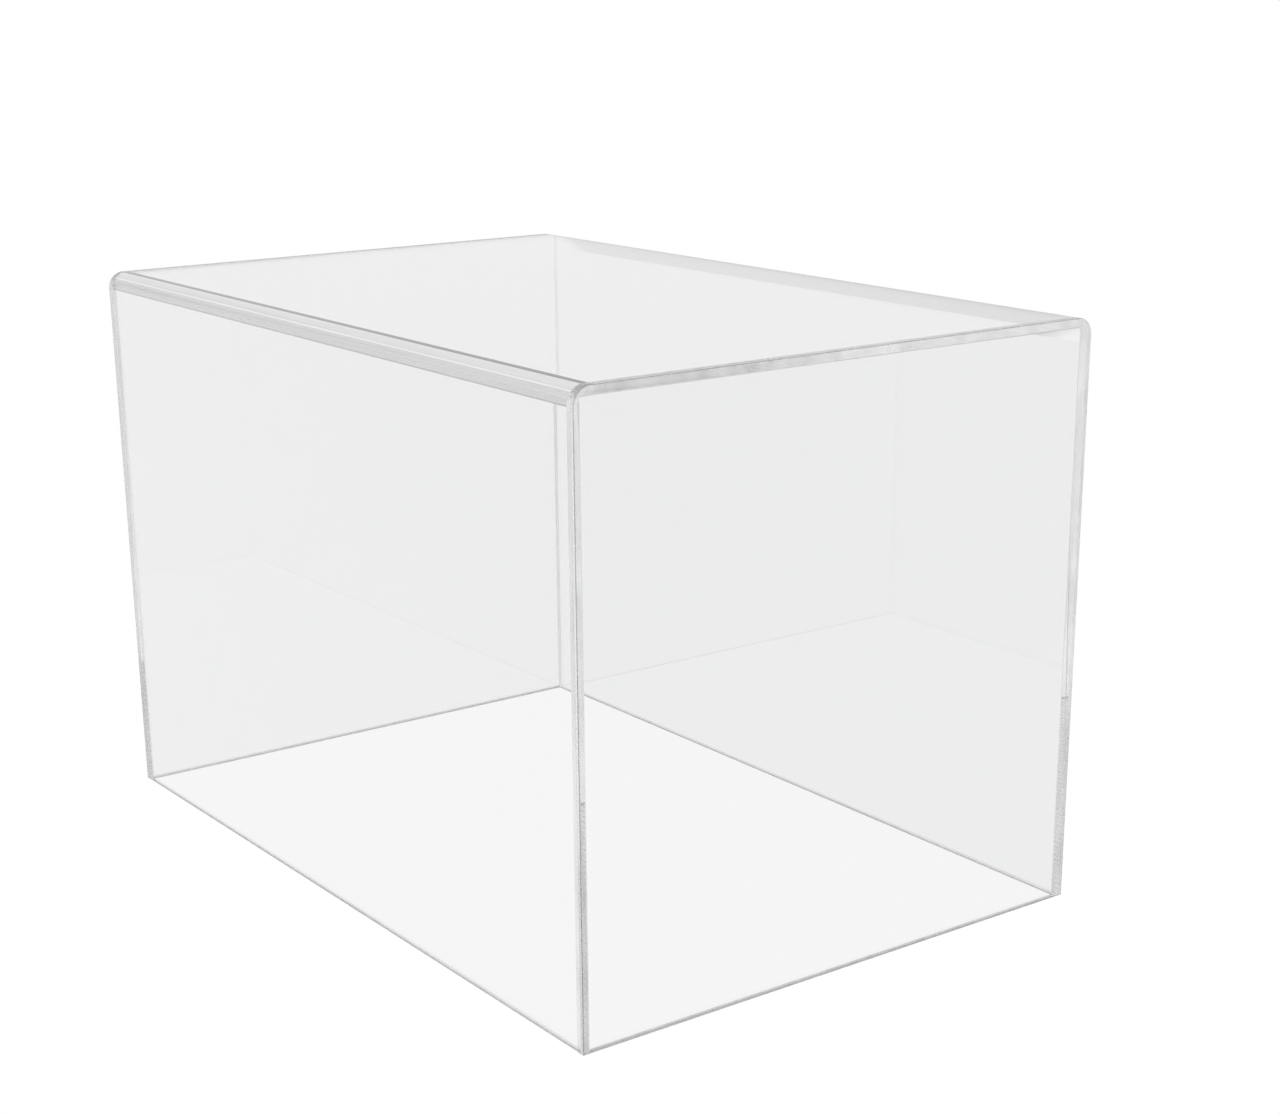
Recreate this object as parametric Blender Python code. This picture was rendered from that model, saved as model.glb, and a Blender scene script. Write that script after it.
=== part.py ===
"""A clear acrylic display cover: five sides, open underneath, standing on its rim.

One sheet is bent twice along its length into front, top and rear. A flat panel with the same
outline is cemented over each end of it. Metres, +Z up, X along the length, origin on the
resting surface under the middle of the cover. The front is at -Y and the left end at -X.
"""

import math

import bmesh
import bpy

LENGTH = 0.464  # outside, over both end panels
WIDTH = 0.308  # outside, over the front and the rear
HEIGHT = 0.305  # outside, from the rim to the top face
SHEET = 0.0048  # thickness of the acrylic sheet
BEND_RADIUS = 0.009  # outside of the two bends
BEND_INNER_RADIUS = 0.0012  # inside of the bends, where the sheet is drawn thinner than SHEET
JOINT_GAP = 0.0003  # between the end of the wrap sheet and an end panel, and around a bead
ARRIS = 0.0004  # the sharp cut edges are broken by this much
BEAD_LEG = 0.0005  # how far the cement creeps along each wall of the inner corner
BEAD_FOOT = 0.001  # height of the bead's lower ends above the rim

BEND_STEPS = 20  # facets in a quarter turn of a bend
ARRIS_STEPS = 2
BEAD_STEPS = 4  # facets across the hollow face of a bead

SHEET_COLOR = (0.93, 0.945, 0.94)
SHEET_ROUGHNESS = 0.02
CEMENT_COLOR = (0.9, 0.92, 0.92)
CEMENT_ROUGHNESS = 0.12
ACRYLIC_IOR = 1.49
SHARP_DEGREES = 35  # edges sharper than this are drawn sharp

INNER_WIDTH = WIDTH - 2 * SHEET
INNER_HEIGHT = HEIGHT - SHEET
PANEL_INNER_X = LENGTH / 2 - SHEET
WRAP_END_X = PANEL_INNER_X - JOINT_GAP


def clear_scene():
    for obj in list(bpy.data.objects):
        bpy.data.objects.remove(obj, do_unlink=True)


def acrylic(name, color, roughness):
    """A clear, colourless plastic."""
    material = bpy.data.materials.new(name)
    material.use_nodes = True
    shader = material.node_tree.nodes["Principled BSDF"]
    shader.inputs["Base Color"].default_value = (*color, 1.0)
    shader.inputs["Metallic"].default_value = 0.0
    shader.inputs["Roughness"].default_value = roughness
    shader.inputs["IOR"].default_value = ACRYLIC_IOR
    shader.inputs["Transmission Weight"].default_value = 1.0
    return material


def arch(width, height, radius, foot=0.0):
    """(y, z) points up the front, over the top and down the rear, with two rounded corners."""
    points = [(-width / 2, foot)]
    for side in (-1, 1):
        centre_y = side * (width / 2 - radius)
        for step in range(BEND_STEPS + 1):
            turn = math.pi / 2 * step / BEND_STEPS
            if side < 0:
                reach, rise = math.cos(turn), math.sin(turn)
            else:
                reach, rise = math.sin(turn), math.cos(turn)
            points.append((centre_y + side * radius * reach, height - radius + radius * rise))
    points.append((width / 2, foot))
    return points


def loft(bm, rings):
    """Skins closed rings of equal length in order, and caps both ends."""
    rows = [[bm.verts.new(point) for point in ring] for ring in rings]
    count = len(rows[0])
    for low, high in zip(rows, rows[1:]):
        for i in range(count):
            j = (i + 1) % count
            bm.faces.new((low[i], low[j], high[j], high[i]))
    bm.faces.new(list(reversed(rows[0])))
    bm.faces.new(rows[-1])
    bmesh.ops.recalc_face_normals(bm, faces=bm.faces)


def break_edges(bm, edges):
    """Rounds sharp cut edges very slightly."""
    bmesh.ops.bevel(bm, geom=edges, offset=ARRIS, segments=ARRIS_STEPS, profile=0.5, affect="EDGES")


def prism(bm, outline, x_low, x_high):
    """A solid with this (y, z) outline between two planes across X."""
    loft(bm, [[(x, y, z) for y, z in outline] for x in (x_low, x_high)])


def add_node(name, bm, material):
    mesh = bpy.data.meshes.new(name)
    bm.to_mesh(mesh)
    bm.free()
    mesh.materials.append(material)
    mesh.shade_smooth()
    mesh.set_sharp_from_angle(angle=math.radians(SHARP_DEGREES))
    bpy.context.scene.collection.objects.link(bpy.data.objects.new(name, mesh))


def wrap_sheet():
    """Front, top and rear: one sheet bent into an upside-down U."""
    bm = bmesh.new()
    outer = arch(WIDTH, HEIGHT, BEND_RADIUS)
    inner = arch(INNER_WIDTH, INNER_HEIGHT, BEND_INNER_RADIUS)
    prism(bm, outer + inner[::-1], -WRAP_END_X, WRAP_END_X)
    rim = [e for e in bm.edges if all(v.co.z < ARRIS for v in e.verts)]
    long_rim = [e for e in rim if abs(e.verts[0].co.x - e.verts[1].co.x) > SHEET]
    break_edges(bm, long_rim)
    add_node("wrap_sheet", bm, acrylic("wrap_acrylic", SHEET_COLOR, SHEET_ROUGHNESS))


def end_panel(name, side):
    """A flat panel that covers the end of the wrap sheet, trimmed flush with it all round."""
    bm = bmesh.new()
    prism(bm, arch(WIDTH, HEIGHT, BEND_RADIUS), side * PANEL_INNER_X, side * LENGTH / 2)
    outer = [e for e in bm.edges if all(abs(v.co.x) > LENGTH / 2 - ARRIS for v in e.verts)]
    break_edges(bm, outer)
    add_node(name, bm, acrylic(name + "_acrylic", SHEET_COLOR, SHEET_ROUGHNESS))


def bead_section():
    """(along X, off the wall) points of the bead: a corner filled to a hollow curve."""
    near, far = JOINT_GAP, JOINT_GAP + BEAD_LEG
    points = [(near, near)]
    for step in range(BEAD_STEPS + 1):
        turn = math.pi / 2 * step / BEAD_STEPS
        points.append((far - BEAD_LEG * math.sin(turn), far - BEAD_LEG * math.cos(turn)))
    return points


def cement_bead(name, side):
    """Cured cement in the inner corner, along both walls and under the top."""
    bm = bmesh.new()
    lines = []
    for along, off in bead_section():
        line = arch(INNER_WIDTH - 2 * off, INNER_HEIGHT - off, BEND_INNER_RADIUS - off, BEAD_FOOT)
        lines.append([(side * (PANEL_INNER_X - along), y, z) for y, z in line])
    loft(bm, [list(ring) for ring in zip(*lines)])
    add_node(name, bm, acrylic(name + "_cement", CEMENT_COLOR, CEMENT_ROUGHNESS))


clear_scene()
wrap_sheet()
end_panel("left_end_panel", -1)
end_panel("right_end_panel", 1)
cement_bead("left_cement_bead", -1)
cement_bead("right_cement_bead", 1)
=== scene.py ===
"""Looks for the clear acrylic display cover: fine meshes, materials, floor, light and camera."""

import math

import bmesh
import bpy
from mathutils import Matrix, Vector


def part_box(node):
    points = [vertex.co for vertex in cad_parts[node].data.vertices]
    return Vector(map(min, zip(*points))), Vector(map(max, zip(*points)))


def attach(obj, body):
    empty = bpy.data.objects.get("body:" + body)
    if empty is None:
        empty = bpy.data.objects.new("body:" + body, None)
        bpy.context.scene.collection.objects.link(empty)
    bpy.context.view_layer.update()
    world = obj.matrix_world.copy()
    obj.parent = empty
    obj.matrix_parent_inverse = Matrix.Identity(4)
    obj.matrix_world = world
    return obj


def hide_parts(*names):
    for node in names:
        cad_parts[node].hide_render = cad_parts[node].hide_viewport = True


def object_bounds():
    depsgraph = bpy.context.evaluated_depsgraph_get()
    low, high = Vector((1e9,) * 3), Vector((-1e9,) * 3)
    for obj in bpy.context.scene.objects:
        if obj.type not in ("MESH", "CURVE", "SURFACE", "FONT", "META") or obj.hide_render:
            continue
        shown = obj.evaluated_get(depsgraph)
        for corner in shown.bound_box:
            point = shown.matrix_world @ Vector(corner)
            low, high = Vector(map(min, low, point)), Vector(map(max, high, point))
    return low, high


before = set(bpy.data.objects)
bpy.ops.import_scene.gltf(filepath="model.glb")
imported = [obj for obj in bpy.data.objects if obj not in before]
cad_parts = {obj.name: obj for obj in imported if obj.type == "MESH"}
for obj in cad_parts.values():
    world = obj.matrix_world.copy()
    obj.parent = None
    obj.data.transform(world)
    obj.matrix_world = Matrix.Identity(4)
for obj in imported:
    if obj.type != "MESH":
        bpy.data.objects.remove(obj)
CAD_BOX = [list(corner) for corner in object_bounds()]
LOW, HIGH = (Vector(corner) for corner in CAD_BOX)
LENGTH, WIDTH, HEIGHT = HIGH - LOW
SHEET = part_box("right_end_panel")[1].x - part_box("right_end_panel")[0].x
BEND_RADIUS = 0.009
BEND_INNER_RADIUS = 0.0012
INNER_WIDTH, INNER_HEIGHT = WIDTH - 2 * SHEET, HEIGHT - SHEET
PANEL_INNER_X = LENGTH / 2 - SHEET

JOINT = 0.00004  # thickness of the cement film in a joint
ARRIS = 0.00035  # rounding of the cut edges
BEAD_LEG = 0.0005  # width of a cement bead on each of the two sheets that it lies against
BEAD_FOOT = 0.001  # height at which it ends, above the rim
BEND_STEPS = 64
ARRIS_STEPS = 3
BEAD_STEPS = 8
FLAT_AREA = 0.0002  # faces larger than this are flat: the rest belong to something round
SMOOTH_ANGLE = math.radians(50)  # shading runs on over the edges that turn less than this
SQUARE_CORNER = 1.0  # and an edge that turns more than this, in radians, is a square corner
SCUFFED_SHADED_FOOT = 0.0008  # height of the strip along the foot of every face that is scuffed and painted darker as contact shade
DARK_LINE_TOP = 0.0022  # how far the painted dark line runs past the front bend, on the top
SHADED_REAR = 0.004  # how far the painted grey shade runs below the rear bend
SHADE_TAPER = 0.4  # slope of that painted shade's lower edge, which rises towards both ends
FADE_BELOW, FADE_ABOVE = 0.006, 0.005  # how far the painted shade fades out to both sides of that edge

FLOOR_Z = -0.0003  # just under the rim, so that the two faces don't meet
FLOOR_SIZE = 60.0
LIGHT_BOUNCES = 500
ACRYLIC_IOR = 1.49

# The camera, in the photograph's place: angles in degrees, distances in heights of the cover.
AZIMUTH, ELEVATION, ROLL = 53.73, 18.01, -0.406
EYE = Vector((2.5073, -1.7227, 1.5471))  # from the near lower corner
FOCAL = 1.7736  # in image widths
SHIFT = (-0.0037, 0.110)

# The places of the finishes in a sheet's list of materials.
FACE, CUT, RIM, SCUFF_AND_SHADE, BOND, FRONT_BEND, REAR_BEND = range(7)


# ---------------------------------------------------------------- shapes

def arch(width, height, radius, foot=0.0):
    """(y, z) points up the front, over the top and down the rear, with two rounded corners.
    More points mark the scuffed feet with their painted shade, and the ends of the strips of painted
    shade, on the top and the rear."""
    center_y, center_z = width / 2 - radius, height - radius
    turns = [math.pi / 2 * step / BEND_STEPS for step in range(BEND_STEPS + 1)]
    front = [(-center_y - radius * math.cos(turn), center_z + radius * math.sin(turn)) for turn in turns]
    rear = [(center_y + radius * math.sin(turn), center_z + radius * math.cos(turn)) for turn in turns]
    return [
        (-width / 2, foot),
        (-width / 2, foot + SCUFFED_SHADED_FOOT),
        *front,
        (-width / 2 + radius + DARK_LINE_TOP, height),
        *rear,
        (width / 2, center_z - SHADED_REAR),
        (width / 2, foot + SCUFFED_SHADED_FOOT),
        (width / 2, foot),
    ]


def sheet_outlines():
    """The outer and inner outlines that all three sheets share."""
    return arch(WIDTH, HEIGHT, BEND_RADIUS), arch(INNER_WIDTH, INNER_HEIGHT, BEND_INNER_RADIUS)


def outside_finish(y, z):
    """The finish of the wrap sheet's outside at a height and a distance from front to rear: the bends and
    the strips beside them get the bend finishes, coloured with painted light and shade.
    """
    if z > HEIGHT - BEND_RADIUS and y < BEND_RADIUS + DARK_LINE_TOP - WIDTH / 2:
        return FRONT_BEND
    if z > HEIGHT - BEND_RADIUS - SHADED_REAR and y > WIDTH / 2 - BEND_RADIUS:
        return REAR_BEND
    return FACE


def scuff_and_shade_feet(bm):
    """Gives the lowest strip of the faces the scuffed finish, whose darker colour is painted contact
    shade.
    """
    for face in bm.faces:
        if face.material_index == FACE and face.calc_center_median().z < SCUFFED_SHADED_FOOT:
            face.material_index = SCUFF_AND_SHADE


def bridge(bm, low, high, slot):
    """Faces between two rows of vertices."""
    for i in range(len(low) - 1):
        face = bm.faces.new((low[i], low[i + 1], high[i + 1], high[i]))
        face.material_index = slot


def row(bm, x, points):
    """Vertices at one place along the length."""
    return [bm.verts.new((x, y, z)) for y, z in points]


def round_edges(bm, edges, slot):
    """Takes the sharpness off cut edges."""
    bmesh.ops.bevel(
        bm, geom=edges, offset=ARRIS, segments=ARRIS_STEPS, profile=0.5, affect="EDGES", material=slot,
    )


def finish_piece(name, bm, materials, replaced):
    """Makes the piece, smooth only where it is round, and gives it to the frame."""
    bmesh.ops.recalc_face_normals(bm, faces=bm.faces)
    mesh = bpy.data.meshes.new(name)
    bm.to_mesh(mesh)
    bm.free()
    for material in materials:
        mesh.materials.append(material)
    mesh.set_sharp_from_angle(angle=SMOOTH_ANGLE)
    for polygon in mesh.polygons:
        polygon.use_smooth = polygon.area < FLAT_AREA
    piece = bpy.data.objects.new(name, mesh)
    bpy.context.scene.collection.objects.link(piece)
    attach(piece, "root")
    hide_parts(replaced)


def wrap_sheet(materials):
    """Front, top and rear: one sheet bent into an upside-down U."""
    bm = bmesh.new()
    end = PANEL_INNER_X - JOINT
    outer_points, inner_points = sheet_outlines()
    outer = [row(bm, x, outer_points) for x in (-end, end)]
    inner = [row(bm, x, inner_points) for x in (-end, end)]
    bridge(bm, *outer, FACE)
    for face in bm.faces:
        face.material_index = outside_finish(*face.calc_center_median().yz)
    bridge(bm, *inner, FACE)
    scuff_and_shade_feet(bm)
    for side in (0, 1):
        bridge(bm, outer[side], inner[side], BOND)
    for foot in (0, -1):
        face = bm.faces.new((outer[0][foot], outer[1][foot], inner[1][foot], inner[0][foot]))
        face.material_index = RIM
    bmesh.ops.recalc_face_normals(bm, faces=bm.faces)
    rim = [e for e in bm.edges if all(v.co.z < ARRIS for v in e.verts)]
    round_edges(bm, [e for e in rim if abs(e.verts[0].co.x - e.verts[1].co.x) > SHEET], RIM)
    finish_piece("bent_wrap_sheet", bm, materials, "wrap_sheet")


def end_panel(name, side, materials, replaced):
    """A flat panel over one end of the wrap sheet, flush with it all round."""
    bm = bmesh.new()
    outer_points, inner_points = sheet_outlines()
    outside = row(bm, side * LENGTH / 2, outer_points)
    joint = row(bm, side * PANEL_INNER_X, outer_points)
    inside = row(bm, side * PANEL_INNER_X, inner_points)
    bridge(bm, joint, outside, CUT)
    bridge(bm, joint, inside, BOND)
    for ring in (outside, inside):
        bm.faces.new(ring[1:-1]).material_index = FACE
        bm.faces.new(ring[:2] + ring[-2:]).material_index = FACE
    scuff_and_shade_feet(bm)
    foot = (outside[0], outside[-1], joint[-1], inside[-1], inside[0], joint[0])
    bm.faces.new(foot).material_index = RIM
    bmesh.ops.recalc_face_normals(bm, faces=bm.faces)
    outline = [e for e in bm.edges if all(v in outside for v in e.verts)]
    # the rounded outline edges get the scuffed finish, whose darker colour is painted shade, so they show
    # as dark lines
    round_edges(bm, [e for e in outline if e.calc_face_angle() > SQUARE_CORNER], SCUFF_AND_SHADE)
    for face in bm.faces:
        if max(v.co.z for v in face.verts) < ARRIS / 2:
            face.material_index = RIM
    finish_piece(name, bm, materials, replaced)


def cement_bead(name, side, material, replaced):
    """Cured cement in the inner corner, along both walls and under the top."""
    bm = bmesh.new()
    section = [(JOINT, JOINT)]
    for step in range(BEAD_STEPS + 1):
        turn = math.pi / 2 * step / BEAD_STEPS
        reach = JOINT + BEAD_LEG
        section.append((reach - BEAD_LEG * math.sin(turn), reach - BEAD_LEG * math.cos(turn)))
    rows = []
    for along, off in section:
        line = arch(INNER_WIDTH - 2 * off, INNER_HEIGHT - off, BEND_INNER_RADIUS - off, BEAD_FOOT)
        rows.append(row(bm, side * (PANEL_INNER_X - along), line))
    for low, high in zip(rows, rows[1:] + rows[:1]):
        bridge(bm, low, high, 0)
    for foot in (0, -1):
        bm.faces.new([line[foot] for line in rows])
    finish_piece(name, bm, [material], replaced)


# ---------------------------------------------------------------- materials

def new_node(tree, kind, **inputs):
    """A shader node with its inputs set by name."""
    node = tree.nodes.new("ShaderNode" + kind)
    for name, value in inputs.items():
        node.inputs[name.replace("_", " ")].default_value = value
    return node


def ramp(tree, factor, stops):
    """A grey colour ramp over (position, level) stops."""
    node = tree.nodes.new("ShaderNodeValToRGB")
    elements = node.color_ramp.elements
    elements[0].position = stops[0][0]
    elements[1].position = stops[-1][0]
    for position, _ in stops[1:-1]:
        elements.new(position)
    for element, (_, level) in zip(elements, stops):
        element.color = (level, level, level, 1)
    tree.links.new(factor, node.inputs["Fac"])
    return node.outputs["Color"]


def streaks(tree, stretch, scale, detail=2.0):
    """Noise drawn out along one direction, as scratches and draw lines are."""
    coords = tree.nodes.new("ShaderNodeTexCoord")
    mapping = new_node(tree, "Mapping", Scale=stretch)
    noise = new_node(tree, "TexNoise", Scale=scale, Detail=detail)
    tree.links.new(coords.outputs["Object"], mapping.inputs["Vector"])
    tree.links.new(mapping.outputs["Vector"], noise.inputs["Vector"])
    return noise.outputs["Fac"]


def mixed(tree, blend, a, b):
    """Two colours put together in full by a blend mode."""
    mix = tree.nodes.new("ShaderNodeMix")
    mix.data_type = "RGBA"
    mix.blend_type = blend
    mix.inputs["Factor"].default_value = 1.0
    tree.links.new(a, mix.inputs["A"])
    tree.links.new(b, mix.inputs["B"])
    return mix.outputs["Result"]


def calculated(tree, operation, *values):
    """A Math node over numbers and other nodes' outputs."""
    node = tree.nodes.new("ShaderNodeMath")
    node.operation = operation
    for value, socket in zip(values, node.inputs):
        if isinstance(value, float):
            socket.default_value = value
        else:
            tree.links.new(value, socket)
    return node.outputs[0]


def coordinates(tree, space="Object"):
    """The x, y and z of the shaded point, or of the direction it is seen in for a world."""
    coords = tree.nodes.new("ShaderNodeTexCoord")
    split = tree.nodes.new("ShaderNodeSeparateXYZ")
    tree.links.new(coords.outputs[space], split.inputs[0])
    return split.outputs


def normal_height(tree):
    """How far the surface faces up: 0 is the upright side and 1 the flat top."""
    geometry = tree.nodes.new("ShaderNodeNewGeometry")
    split = tree.nodes.new("ShaderNodeSeparateXYZ")
    tree.links.new(geometry.outputs["Normal"], split.inputs[0])
    return split.outputs["Z"]


def plastic(name, color, roughness):
    """A clear plastic, with the node tree it is finished in."""
    material = bpy.data.materials.new(name)
    material.use_nodes = True
    tree = material.node_tree
    shader = tree.nodes["Principled BSDF"]
    shader.inputs["Base Color"].default_value = (*color, 1)
    shader.inputs["Roughness"].default_value = roughness
    shader.inputs["IOR"].default_value = ACRYLIC_IOR
    shader.inputs["Transmission Weight"].default_value = 1.0
    return material, tree, shader


def clear_acrylic():
    """Glossy faces with a few hair-fine wiping scratches."""
    material, tree, shader = plastic("clear_acrylic", (0.908, 0.911, 0.91), 0.0)
    scratches = streaks(tree, (9.0, 9.0, 0.4), 60.0)
    tree.links.new(ramp(tree, scratches, ((0.0, 0.0), (0.74, 0.0), (0.78, 0.05), (1.0, 0.05))),
                   shader.inputs["Roughness"])
    return material


def cut_edge(name, dark, light, top):
    """The polished edges of an end panel, with faint lines left by the cutter; the top is painted darker
    as shade, and each panel's levels are painted lighter or darker by how it is lit.
    """
    material, tree, shader = plastic(name, (light, light, light), 0.08)
    lines = streaks(tree, (1.0, 1.0, 0.08), 900.0)
    level = ramp(tree, lines, ((0.3, dark), (0.7, light)))
    # painted shade: the colour darkens to the top level where the edge faces up
    top_shade = ramp(tree, normal_height(tree), ((0.0, 1.0), (0.9, 1.0), (1.0, top)))
    tree.links.new(mixed(tree, "MULTIPLY", level, top_shade), shader.inputs["Base Color"])
    tree.links.new(ramp(tree, lines, ((0.3, 0.12), (0.7, 0.3))), shader.inputs["Roughness"])
    return material


def ground_rim():
    """The edges that the cover stands on: ground flat, fine enough to stay nearly clear."""
    material, tree, shader = plastic("ground_rim", (0.99, 0.99, 0.99), 0.07)
    grain = streaks(tree, (1.0, 1.0, 1.0), 700.0, 4.0)
    tree.links.new(ramp(tree, grain, ((0.3, 0.97), (0.7, 1.0))), shader.inputs["Base Color"])
    return material


def scuffed_and_shaded_edge():
    """Corners and feet that the polishing left dull and rough, with painted shade: their colour is
    darkened to draw dark lines of shade along the feet and edges.
    """
    material, tree, shader = plastic("scuffed_and_shaded_edge", (0.5, 0.5, 0.5), 0.25)
    wear_and_shade = streaks(tree, (1.0, 1.0, 1.0), 120.0, 4.0)
    # the darker colour here is painted shade; the roughness is the real scuffing
    tree.links.new(ramp(tree, wear_and_shade, ((0.3, 0.31), (0.7, 0.52))), shader.inputs["Base Color"])
    tree.links.new(ramp(tree, wear_and_shade, ((0.3, 0.15), (0.7, 0.35))), shader.inputs["Roughness"])
    return material


def drawn_lines(tree):
    """Fine lines along a bend, where the hot sheet was drawn thin."""
    return ramp(tree, streaks(tree, (0.02, 1.0, 1.0), 700.0), ((0.3, 0.94), (0.7, 1.0)))


def bend_painted_light(tree):
    """Painted light and shade by which way the bend faces: painted grey shade round the side, lighter
    over the top with a painted highlight line between the two, and a painted dark line where the bend
    meets the flat top."""
    # base colour set by the normal's height: painted grey shade, painted highlight and painted dark line
    level = ramp(tree, normal_height(tree), (
        (0.0, 0.33), (0.05, 0.33), (0.1, 0.53), (0.25, 0.53), (0.4, 0.72), (0.655, 0.75),
        (0.675, 1.0), (0.71, 1.0), (0.735, 0.85), (0.85, 0.93), (0.985, 0.94),
        (0.99, 0.12), (1.0, 0.12),
    ))
    return mixed(tree, "MULTIPLY", level, drawn_lines(tree))


def milky(tree, shader):
    """The heat leaves the top of a bend milky, and most so along the painted highlight line, so that the
    painted colours show there.
    """
    level = ramp(tree, normal_height(tree), (
        (0.0, 1.0), (0.25, 1.0), (0.4, 0.3), (0.65, 0.15),
        (0.68, 0.0), (0.71, 0.0), (0.74, 0.15), (1.0, 0.15),
    ))
    tree.links.new(level, shader.inputs["Transmission Weight"])


def front_bend():
    """The rounded edge between the front and the top, and the strip of the top beside it, coloured with
    the bend's painted light and shade.
    """
    material, tree, shader = plastic("front_bend", (0.5, 0.5, 0.5), 0.05)
    tree.links.new(bend_painted_light(tree), shader.inputs["Base Color"])
    milky(tree, shader)
    return material


def rear_bend():
    """The same painted light and shade, and painted grey shade a little way down the rear too, less far
    towards both ends.
    """
    material, tree, shader = plastic("rear_bend", (0.5, 0.5, 0.5), 0.05)
    place = coordinates(tree)
    from_middle = calculated(tree, "ABSOLUTE", place["X"])
    above_taper = calculated(tree, "MULTIPLY_ADD", from_middle, -SHADE_TAPER, place["Z"])
    taper = HEIGHT - SHADE_TAPER * PANEL_INNER_X
    # clear is 1 below the painted grey shade and 0 where that painted shade shows
    clear = ramp(tree, above_taper, ((taper - FADE_BELOW, 1.0), (taper + FADE_ABOVE, 0.0)))
    tree.links.new(mixed(tree, "LIGHTEN", bend_painted_light(tree), clear), shader.inputs["Base Color"])
    milky(tree, shader)
    return material


def cemented_joint():
    """A joint face: the cement makes the two sheets one, apart from small clouds and bubbles, which
    are thickest at the front."""
    material = bpy.data.materials.new("cemented_joint")
    material.use_nodes = True
    tree = material.node_tree
    tree.nodes.remove(tree.nodes["Principled BSDF"])
    clear = tree.nodes.new("ShaderNodeBsdfTransparent")
    clouds = ramp(tree, streaks(tree, (1.0, 1.0, 0.3), 140.0, 3.0), ((0.3, 0.94), (0.6, 1.0)))
    rearward = calculated(tree, "ADD", coordinates(tree)["Y"], WIDTH / 2)
    thinning = ramp(tree, rearward, ((0.01, 0.96), (0.015, 0.87), (0.1, 0.88), (0.16, 0.98)))
    tree.links.new(mixed(tree, "MULTIPLY", clouds, thinning), clear.inputs["Color"])
    tree.links.new(clear.outputs[0], tree.nodes["Material Output"].inputs["Surface"])
    return material


def cured_cement():
    """Clear cement, slightly rippled where it set in the corner."""
    material, tree, shader = plastic("cured_cement", (0.85, 0.86, 0.86), 0.05)
    ripples = streaks(tree, (1.0, 1.0, 1.0), 500.0)
    tree.links.new(ramp(tree, ripples, ((0.3, 0.03), (0.7, 0.2))), shader.inputs["Roughness"])
    return material


# ---------------------------------------------------------------- studio

def studio_floor():
    """A wide white floor that gives off its own light, so that no shadow or edge shows on it."""
    bm = bmesh.new()
    bmesh.ops.create_grid(bm, x_segments=1, y_segments=1, size=FLOOR_SIZE / 2)
    mesh = bpy.data.meshes.new("floor")
    bm.to_mesh(mesh)
    bm.free()
    floor = bpy.data.objects.new("floor", mesh)
    floor.location.z = FLOOR_Z
    bpy.context.scene.collection.objects.link(floor)
    material = bpy.data.materials.new("pale_floor")
    material.use_nodes = True
    tree = material.node_tree
    tree.nodes.clear()
    glow = tree.nodes.new("ShaderNodeEmission")
    out = tree.nodes.new("ShaderNodeOutputMaterial")
    tree.links.new(glow.outputs[0], out.inputs["Surface"])
    mesh.materials.append(material)


def studio_world():
    """Soft light from all round: white below, a slightly dimmer wall and a bright ceiling."""
    world = bpy.data.worlds.new("studio")
    world.use_nodes = True
    bpy.context.scene.world = world
    tree = world.node_tree
    levels = ramp(tree, coordinates(tree, "Generated")["Z"], (
        (0.0, 1.0), (0.04, 0.95), (0.12, 0.9), (0.35, 0.9),
        (0.5, 0.75), (0.7, 0.75), (0.85, 1.0), (1.0, 1.0),
    ))
    tree.links.new(levels, tree.nodes["Background"].inputs["Color"])


def let_light_run_along_sheets():
    """Light caught in a sheet bounces between its faces hundreds of times before it leaves at an edge."""
    cycles = bpy.context.scene.cycles
    cycles.max_bounces = LIGHT_BOUNCES
    cycles.transmission_bounces = LIGHT_BOUNCES
    cycles.glossy_bounces = LIGHT_BOUNCES
    cycles.transparent_max_bounces = LIGHT_BOUNCES


def photograph_camera():
    """The camera, set up from the angles and distances at the top."""
    az, el, roll = (math.radians(a) for a in (AZIMUTH, ELEVATION, ROLL))
    back = Vector((math.cos(el) * math.sin(az), -math.cos(el) * math.cos(az), math.sin(el)))
    level_right = (-back).cross(Vector((0, 0, 1))).normalized()
    level_up = level_right.cross(-back)
    right = math.cos(roll) * level_right + math.sin(roll) * level_up
    up = math.cos(roll) * level_up - math.sin(roll) * level_right
    camera = bpy.data.objects.new("camera", bpy.data.cameras.new("camera"))
    bpy.context.scene.collection.objects.link(camera)
    turn = Matrix((right, up, back)).transposed().to_4x4()
    near_corner = Vector((HIGH.x, LOW.y, LOW.z))
    camera.matrix_world = Matrix.Translation(near_corner + HEIGHT * EYE) @ turn
    camera.data.lens = FOCAL * camera.data.sensor_width
    camera.data.shift_x, camera.data.shift_y = SHIFT
    bpy.context.scene.camera = camera


# ---------------------------------------------------------------- the scene

def sheet_materials(edge):
    """The finishes of one sheet, in the order of the places named at the top."""
    return [clear, edge, rim, scuff_and_shade, joint, front, rear]


photograph_camera()
studio_floor()
studio_world()
bpy.context.scene.view_settings.view_transform = "Standard"
let_light_run_along_sheets()

clear, rim, scuff_and_shade, joint = clear_acrylic(), ground_rim(), scuffed_and_shaded_edge(), cemented_joint()
front, rear, cement = front_bend(), rear_bend(), cured_cement()
# lit and shaded copies of one cut edge: the left one painted darker, the right one lighter, each darker
# again on top as painted shade
left_edge = cut_edge("left_cut_edge", 0.6, 0.77, 0.4)
right_edge = cut_edge("right_cut_edge", 0.8, 0.93, 0.85)
wrap_sheet(sheet_materials(right_edge))
end_panel("left_panel", -1, sheet_materials(left_edge), "left_end_panel")
end_panel("right_panel", 1, sheet_materials(right_edge), "right_end_panel")
cement_bead("left_cement", -1, cement, "left_cement_bead")
cement_bead("right_cement", 1, cement, "right_cement_bead")
